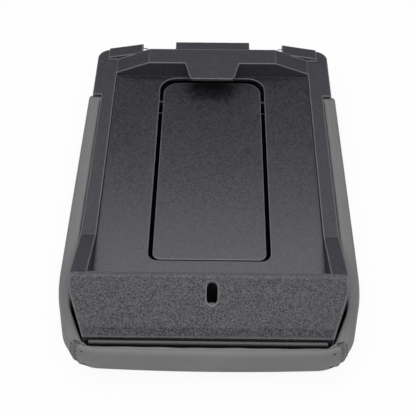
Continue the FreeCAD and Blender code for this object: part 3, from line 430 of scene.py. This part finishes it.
@dataclass
class PaddedCover:
    """Sewn vinyl cover: padded face, rounded sides, rolled rim and inner return. Millimetres."""

    front: float = -193.5
    end: float = 122.5
    front_half_width: float = 118.0
    half_width: float = 132.5
    end_half_width: float = 131.0
    shoulder_set: float = 70.0
    corner_radius: float = 30.0
    shoulder_radius: float = 150.0
    end_radius: float = 3.0
    crown_radius: float = 22.0
    rim_radius: float = 5.0
    rim_height: float = 42.0
    return_depth: float = 10.8
    skin: float = 1.3
    inner_front_half_width: float = 102.6
    inner_half_width: float = 118.85
    inner_end_half_width: float = 117.25
    inner_front: float = 8.4
    inner_end: float = 9.0
    cut_length: float = 38.0
    front_bow: float = 0.00024
    notch_half_width: float = 108.0
    notch_height: float = 22.6
    notch_blend: float = 8.0
    notch_reach: float = 12.0
    bow_reach: float = 60.0
    inner_corner_radius: float = 8.0
    inner_shoulder_radius: float = 30.0
    inner_end_radius: float = 3.0
    side_swell: float = 1.2
    rim_arch: float = 0.9
    lip_drop: float = 2.2
    seam_depth: float = 1.8
    seam_width: float = 1.3
    welt_height: float = 0.8
    welt_set: float = 3.4
    welt_width: float = 1.7
    around: int = 720
    grid: np.ndarray = field(default_factory=lambda: np.zeros((0, 0, 3)), init=False)
    along: np.ndarray = field(default_factory=lambda: np.zeros(0), init=False)
    seams: tuple[float, float] = field(default=(0.0, 0.0), init=False)
    outer_rows: int = field(default=0, init=False)

    @staticmethod
    def _rounded(corners: np.ndarray, radii: np.ndarray, steps: int = 24) -> np.ndarray:
        """A closed line whose corners are arcs.

        Each corner gives steps points on the circle that touches both its sides; the sides are
        the straight lines between the arcs.

        Args:
            corners: corner points in counter-clockwise order.
            radii: the arc's radius at each corner.
            steps: points on each arc.

        Returns:
            The points in order.
        """
        before = np.roll(corners, 1, 0) - corners
        after = np.roll(corners, -1, 0) - corners
        before /= np.linalg.norm(before, axis=1, keepdims=True)
        after /= np.linalg.norm(after, axis=1, keepdims=True)
        half = np.arccos(np.clip(np.sum(before * after, 1), -1, 1)) / 2
        middle = before + after
        middle /= np.maximum(np.linalg.norm(middle, axis=1, keepdims=True), 1e-9)
        centre = corners + middle * (radii / np.sin(half))[:, None]
        start = corners + before * (radii / np.tan(half))[:, None] - centre
        angle = (math.pi - 2 * half)[:, None] * np.linspace(0, 1, steps)[None, :]
        cos, sin = np.cos(angle), np.sin(angle)
        x = start[:, :1] * cos - start[:, 1:] * sin
        y = start[:, :1] * sin + start[:, 1:] * cos
        return np.stack([x + centre[:, :1], y + centre[:, 1:]], -1).reshape(-1, 2)

    @staticmethod
    def _inset(corners: np.ndarray, distance: float) -> np.ndarray:
        """Corners of a line that runs at one distance inside another line of straight sides.

        A corner moves along the sum of its two sides' inward normals, over one plus their dot product.

        Args:
            corners: corner points in counter-clockwise order.
            distance: how far inside.

        Returns:
            The moved corners.
        """
        side = np.roll(corners, -1, 0) - corners
        side /= np.linalg.norm(side, axis=1, keepdims=True)
        inward = np.stack([-side[:, 1], side[:, 0]], -1)
        before = np.roll(inward, 1, 0)
        return corners + distance * (inward + before) / (1 + np.sum(inward * before, 1, keepdims=True))

    @staticmethod
    def _both_sides(right: list[tuple[float, float]]) -> np.ndarray:
        """All six corners of an outline, counter-clockwise, from its front, shoulder and end corner."""
        left = [(-x, y) for x, y in right]
        return np.array([left[0], *right, left[2], left[1]])

    def _outlines(self) -> tuple[np.ndarray, np.ndarray, np.ndarray]:
        """The outer line, its outward normals, and the matching points on the inner rim's line.

        All three lines have the same six corners and as many points on each arc, so points with one
        index belong together. The outer line is walked by arc length, with more points near the two
        front seams. The normal runs from the padded face's edge to the outer line, and the front
        edge bows inwards with the square of the distance from the middle.

        Returns:
            Outer points, outward normals and inner points, each of shape (around, 2).
        """
        corners = self._both_sides([(self.front_half_width, self.front),
                                    (self.half_width, self.front + self.shoulder_set),
                                    (self.end_half_width, self.end)])
        radii = np.array([self.corner_radius, self.corner_radius, self.shoulder_radius, self.end_radius,
                          self.end_radius, self.shoulder_radius])
        near = self.front + self.inner_front
        inner_corners = self._both_sides([(self.inner_front_half_width, near),
                                          (self.inner_half_width, near + self.cut_length),
                                          (self.inner_end_half_width, self.end - self.inner_end)])
        line = self._rounded(corners, radii)
        foot_line = self._rounded(self._inset(corners, self.crown_radius),
                                  np.maximum(radii - self.crown_radius, 2.0))
        inner_radii = np.array([self.inner_corner_radius, self.inner_corner_radius,
                                self.inner_shoulder_radius, self.inner_end_radius,
                                self.inner_end_radius, self.inner_shoulder_radius])
        inner_line = self._rounded(inner_corners, inner_radii)
        closed = np.concatenate([line, line[:1]])
        length = np.concatenate([[0], np.cumsum(np.linalg.norm(np.diff(closed, axis=0), axis=1))])
        steps = len(line) // len(corners)
        self.seams = (float(length[steps // 2]), float(length[steps + steps // 2]))
        fine = np.linspace(0, length[-1], 6001)
        density = 1.0 + sum(5.0 * np.exp(-((fine - seam) / 10.0) ** 2) for seam in self.seams)
        walk = np.concatenate([[0], np.cumsum((density[1:] + density[:-1]) / 2 * np.diff(fine))])
        self.along = np.interp(np.linspace(0, walk[-1], self.around, endpoint=False), walk, fine)
        index = np.interp(self.along, length, np.arange(len(closed)))

        def matched(points: np.ndarray) -> np.ndarray:
            """The points of a line at the walk's indices."""
            ring = np.concatenate([points, points[:1]])
            return np.stack([np.interp(index, np.arange(len(ring)), ring[:, i]) for i in range(2)], -1)

        outer, foot, inner = matched(line), matched(foot_line), matched(inner_line)
        normal = (outer - foot) / self.crown_radius
        near_front = np.clip(1 - (outer[:, 1] - self.front) / self.bow_reach, 0, 1)
        outer[:, 1] += self.front_bow * outer[:, 0] ** 2 * near_front
        return outer, normal, inner

    def _rows(self, outer: np.ndarray, normal: np.ndarray, inner: np.ndarray) -> np.ndarray:
        """Rings of the double-walled cover, from the padded face's middle out, over the rim and back inside.

        The padded face is the outline drawn towards the middle; the crown and the rim's outer edge are
        quarter circles; the side swells by a sine; the rim's top runs to the inner line with a low arch and
        turns down into the return. The inner wall repeats this one skin further in.

        Args:
            outer: the outer line.
            normal: its outward normals.
            inner: the matching inner line.

        Returns:
            Rings of shape (rings, around, 3), in millimetres.
        """
        middle = np.array([0.0, (self.front + self.end) / 2])
        inward = inner - outer
        inward /= np.linalg.norm(inward, axis=1, keepdims=True)
        wave = 0.35 * np.sin(self.along * 0.21) + 0.25 * np.sin(self.along * 0.083 + 1.0)

        def ring(flat: np.ndarray, height: float | np.ndarray) -> np.ndarray:
            """One ring at a height."""
            return np.concatenate([flat, np.broadcast_to(height, len(flat)).reshape(-1, 1)], 1)

        def wall(skin: float) -> list[np.ndarray]:
            """The rings of one wall, moved inwards by skin."""
            crown, roll = self.crown_radius - skin, self.rim_radius - skin
            foot = outer - normal * self.crown_radius
            rings = [ring(middle + (foot - middle) * share, skin)
                     for share in (0.0, 0.3, 0.6, 0.82, 0.94, 1.0)]
            for angle in np.linspace(0, math.pi / 2, 14)[1:]:
                rings.append(ring(outer - normal * (self.crown_radius - crown * math.sin(angle)),
                                  self.crown_radius - crown * math.cos(angle)))
            shoulder = self.rim_height - self.rim_radius
            for share in np.linspace(0, 1, 9)[1:]:
                swell = self.side_swell * math.sin(math.pi * share)
                rings.append(ring(outer + normal * (swell - skin),
                                  self.crown_radius + (shoulder - self.crown_radius) * share))
            for angle in np.linspace(0, math.pi / 2, 10)[1:]:
                rings.append(ring(outer - normal * (self.rim_radius - roll * math.cos(angle)),
                                  shoulder + roll * math.sin(angle)))
            edge = inner - inward * skin
            start = outer - normal * self.rim_radius
            for share in np.linspace(0, 1, 14)[1:]:
                arch = self.rim_arch * math.sin(math.pi * share)
                arch -= self.lip_drop * max(0.0, share - 0.8) ** 2 / 0.04
                flat = start + (edge - start) * share + inward * (wave * share)[:, None] * 0.6
                rings.append(ring(flat, self.rim_height - skin + arch))
            low = self.rim_height - self.return_depth
            for share in (0.35, 0.7, 1.0):
                high = self.rim_height - skin - self.lip_drop
                rings.append(ring(edge, high + (low - high) * share))
            return rings

        outside, inside = wall(0.0), wall(self.skin)
        self.outer_rows = len(outside)
        rows = np.stack(outside + inside[::-1])
        share = np.clip((np.abs(outer[:, 0]) - self.notch_half_width) / self.notch_blend, 0, 1)
        at_end = outer[:, 1] > self.end - self.notch_reach
        keep = np.where(at_end, share * share * (3 - 2 * share), 1.0)
        low = (self.notch_height - self.crown_radius) / (self.rim_height - self.crown_radius)
        squeeze = low + (1 - low) * keep
        above = np.maximum(rows[..., 2] - self.crown_radius, 0)
        rows[..., 2] += above * (squeeze - 1)
        return rows

    def _sew(self, rows: np.ndarray) -> np.ndarray:
        """Draws the two corner seams in: a narrow valley with a puffed welt on each side.

        A point moves along its normal by welt minus valley, both bell curves of its distance to the seam.

        Args:
            rows: rings in millimetres.

        Returns:
            The rings with seams.
        """
        along_u = np.roll(rows, -1, 1) - np.roll(rows, 1, 1)
        along_v = np.gradient(rows, axis=0)
        face = np.cross(along_u, along_v)
        face /= np.maximum(np.linalg.norm(face, axis=2, keepdims=True), 1e-9)
        upward = np.zeros(rows.shape[:2])
        for seam in self.seams:
            away = self.along - seam
            upward += -self.seam_depth * np.exp(-((away / self.seam_width) ** 2))
            upward += self.welt_height * np.exp(-(((np.abs(away) - self.welt_set) / self.welt_width) ** 2))
        strength = np.clip((rows[..., 2] - 2.0) / 6.0, 0, 1)
        strength[self.outer_rows:] = 0.0
        crown = slice(8, 20)
        heart = np.array([0.0, (self.front + self.end) / 2, self.crown_radius])
        side = np.sign(np.sum(face[crown] * (rows[crown] - heart), axis=2).mean())
        return rows + face * (side * upward * strength)[..., None]

    def build(self, wardrobe: Wardrobe) -> bpy.types.Object:
        """Makes the cover, dresses it and puts it in place of its solids.

        Args:
            wardrobe: the finishes.

        Returns:
            The cover.
        """
        outer, normal, inner = self._outlines()
        self.grid = self._sew(self._rows(outer, normal, inner)) * MM
        cover = SurfaceMaker.closed_bag("sewn_cover", self.grid)
        wardrobe.dress(cover, Slot.VINYL)
        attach(cover, Body.LID.value)
        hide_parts("cover_skin", "foam_pad")
        return cover

    def stitch_lines(self, away: float, low: int, high: int) -> list[np.ndarray]:
        """Lines beside the seams on the cover's outside, from the side up over the rim.

        Args:
            away: distance from the seam in millimetres.
            low: first ring of the line.
            high: last ring of the line.

        Returns:
            One line of points for each side of each seam, in metres.
        """
        places = [seam + side * away for seam in self.seams for side in (-1, 1)]
        columns = [int(np.argmin(np.abs(self.along - place))) for place in places]
        return [self.grid[low:high, column] for column in columns]


@dataclass
class SeamStitches:
    """Thread stitches along both sides of the cover's corner seams. Millimetres."""

    cover: PaddedCover
    away: float = 3.0
    pitch: float = 4.6
    length: float = 3.0
    thread: float = 0.5
    rings: int = 7
    facets: int = 8
    first_row: int = 10
    rows_left: int = 5

    def build(self, wardrobe: Wardrobe) -> bpy.types.Object:
        """Makes all stitches as one piece.

        Each stitch is a slim spindle: circles of thread radius times the square root of one minus the
        fourth power of the place along it, on a straight line between two points of the stitch line.

        Args:
            wardrobe: the finishes.

        Returns:
            The stitches.
        """
        centres, aims = [], []
        last_row = self.cover.outer_rows - self.rows_left
        for line in self.cover.stitch_lines(self.away, self.first_row, last_row):
            reach = np.concatenate([[0], np.cumsum(np.linalg.norm(np.diff(line, axis=0), axis=1))])
            places = np.arange(self.pitch, reach[-1] / MM - self.pitch, self.pitch) * MM
            half = self.length / 2 * MM
            ends = [np.stack([np.interp(places + step, reach, line[:, i]) for i in range(3)], -1)
                    for step in (-half, half)]
            centres.append((ends[0] + ends[1]) / 2)
            aims.append(ends[1] - ends[0])
        centre, aim = np.concatenate(centres), np.concatenate(aims)
        aim /= np.linalg.norm(aim, axis=1, keepdims=True)
        slanted = np.array([0.31, 0.52, 0.79])
        side = np.cross(aim, slanted)
        side /= np.linalg.norm(side, axis=1, keepdims=True)
        other = np.cross(aim, side)
        place = np.linspace(-1, 1, self.rings)
        radius = self.thread * MM * np.sqrt(np.maximum(1 - place ** 4, 0.0))
        turn = np.linspace(0, 2 * math.pi, self.facets, endpoint=False)
        cos, sin = np.cos(turn)[None, None, :, None], np.sin(turn)[None, None, :, None]
        circle = side[:, None, None] * cos + other[:, None, None] * sin
        reach_along = (place * self.length / 2 * MM)[None, :, None, None]
        rows = centre[:, None, None] + aim[:, None, None] * reach_along + circle * radius[None, :, None, None]
        count = len(centre)
        points = rows.reshape(-1, 3)
        step = np.arange(self.facets)
        turn_on = (step + 1) % self.facets
        ring = (np.arange(self.rings - 1) * self.facets)[:, None]
        above = ring + self.facets
        one = np.stack([ring + step, ring + turn_on, above + turn_on, above + step], -1).reshape(1, -1, 4)
        first = (np.arange(count) * self.rings * self.facets)[:, None, None]
        quads = (one + first).reshape(-1, 4)
        stitches = SurfaceMaker.from_faces("corner_stitches", points, quads, np.zeros((0, 3), int))
        wardrobe.dress(stitches, Slot.THREAD)
        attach(stitches, Body.LID.value)
        return stitches


@dataclass
class Mouldings:
    """The solids that show as they are: frame, liner, latch and steel pieces, each with its finish."""

    finishes: dict[str, Slot] = field(default_factory=lambda: {
        "lid_shell": Slot.INNER, "inner_frame": Slot.SMOOTH, "rear_cap": Slot.SMOOTH,
        "liner_panel": Slot.GRAINED, "pocket_insert": Slot.GRAINED, "latch_housing": Slot.COARSE,
        "release_bar": Slot.GLOSS, "latch_pawl": Slot.GLOSS, "latch_pin": Slot.STEEL,
        "latch_spring": Slot.STEEL, "hinge_pin_left": Slot.STEEL, "hinge_pin_right": Slot.STEEL,
        "frame_screws": Slot.STEEL, "housing_screws": Slot.STEEL, "cap_screws": Slot.STEEL})

    def dress(self, wardrobe: Wardrobe) -> int:
        """Gives every shown solid its finish.

        Args:
            wardrobe: the finishes.

        Returns:
            How many solids were dressed.
        """
        for name, slot in self.finishes.items():
            wardrobe.dress(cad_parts[name], slot)
            LOG.info("dressed %s as %s", name, slot.value)
        return len(self.finishes)


@dataclass(frozen=True)
class Lamp:
    """One lamp panel: its place, the point it faces, its two sides in metres and its power in watts."""

    name: str
    place: tuple[float, float, float]
    size: tuple[float, float]
    power: float
    aim: tuple[float, float, float] = (0.0, 0.0, 0.0)


LAMPS = (
    Lamp("overhead", place=(0.0, -0.1, 0.95), size=(1.5, 1.52), power=14.0, aim=(0.0, -0.1, 0.0)),
    Lamp("low_front", place=(0.0, -1.5, 0.4), size=(1.4, 0.6), power=2.5),
    Lamp("front_left", place=(-1.3, -0.6, 0.8), size=(0.9, 0.9), power=2.0),
    Lamp("front_right", place=(1.3, -0.6, 0.8), size=(0.9, 0.9), power=1.0),
)


@dataclass
class Studio:
    """Pale floor, soft lamps and the camera at the photo's angle. Metres and degrees."""

    camera_place: tuple[float, float, float] = (0.005, -0.5365, 0.640)
    pitch: float = 50.0
    yaw: float = 0.8
    lens: float = 71.74
    floor_white: float = 0.9
    floor_glow: float = 0.93
    floor_reach: float = 6.0
    floor_drop: float = 0.0002
    sky: float = 0.12

    def floor(self) -> bpy.types.Object:
        """A pale floor, bright to the camera but keeping the lid's shadow.

        Returns:
            The floor.
        """
        size = np.array([[-1, -1], [1, -1], [1, 1], [-1, 1]]) * self.floor_reach
        mesh = bpy.data.meshes.new("floor")
        mesh.from_pydata([(x, y, -self.floor_drop) for x, y in size.tolist()], [], [(0, 1, 2, 3)])
        floor = bpy.data.objects.new("floor", mesh)
        bpy.context.scene.collection.objects.link(floor)
        material = bpy.data.materials.new("pale_floor")
        material.use_nodes = True
        tree = NodeTree(material.node_tree)
        tree.tree.nodes.clear()
        out = tree.add("ShaderNodeOutputMaterial")
        matt = tree.add("ShaderNodeBsdfDiffuse", Color=(*[self.floor_white] * 3, 1.0))
        glow = tree.add("ShaderNodeEmission", Color=(1.0, 1.0, 1.0, 1.0))
        mix = tree.add("ShaderNodeMixShader")
        path = tree.add("ShaderNodeLightPath")
        share = tree.add("ShaderNodeMath", operation="MULTIPLY")
        share.inputs[1].default_value = self.floor_glow
        tree.join(path.outputs["Is Camera Ray"], share.inputs[0])
        tree.join(share.outputs[0], mix.inputs["Fac"])
        tree.join(matt.outputs[0], mix.inputs[1])
        tree.join(glow.outputs[0], mix.inputs[2])
        tree.join(mix.outputs[0], out.inputs["Surface"])
        mesh.materials.append(material)
        return floor

    def lights(self) -> None:
        """A wide panel overhead, a low one in front, two faint side panels and a dim even sky."""
        for panel in LAMPS:
            lamp = bpy.data.lights.new(panel.name, "AREA")
            lamp.shape = "RECTANGLE"
            lamp.size, lamp.size_y = panel.size
            lamp.energy = panel.power
            light = bpy.data.objects.new(panel.name, lamp)
            light.location = panel.place
            back = np.array(panel.place) - np.array(panel.aim)
            flat = math.hypot(back[0], back[1])
            light.rotation_euler = (math.atan2(flat, back[2]), 0.0, math.atan2(back[0], -back[1]))
            bpy.context.scene.collection.objects.link(light)
        world = bpy.data.worlds.new("even_sky")
        bpy.context.scene.world = world
        world.use_nodes = True
        world.node_tree.nodes["Background"].inputs["Color"].default_value = (1.0, 1.0, 1.0, 1.0)
        world.node_tree.nodes["Background"].inputs["Strength"].default_value = self.sky

    def camera(self) -> bpy.types.Object:
        """The camera: stands in front of the latch end and looks down at the underside.

        Returns:
            The camera.
        """
        lens = bpy.data.cameras.new("camera")
        lens.lens = self.lens
        lens.sensor_width = 36.0
        camera = bpy.data.objects.new("camera", lens)
        camera.location = self.camera_place
        camera.rotation_euler = (math.radians(90.0 - self.pitch), 0.0, math.radians(self.yaw))
        bpy.context.scene.collection.objects.link(camera)
        bpy.context.scene.camera = camera
        return camera

    def build(self) -> None:
        """Sets floor, lights, camera and the plain view transform."""
        self.floor()
        self.lights()
        self.camera()
        bpy.context.scene.view_settings.view_transform = "Standard"


def main() -> None:
    """Builds the lid's looks piece by piece."""
    logging.basicConfig(level=logging.INFO, format="%(name)s: %(message)s")
    wardrobe = Wardrobe()
    cover = PaddedCover()
    piece = cover.build(wardrobe)
    LOG.info("%s: %d faces", piece.name, len(piece.data.polygons))
    stitches = SeamStitches(cover).build(wardrobe)
    LOG.info("%s: %d faces", stitches.name, len(stitches.data.polygons))
    LOG.info("%d solids dressed", Mouldings().dress(wardrobe))
    Studio().build()


if __name__ == "__main__":
    main()
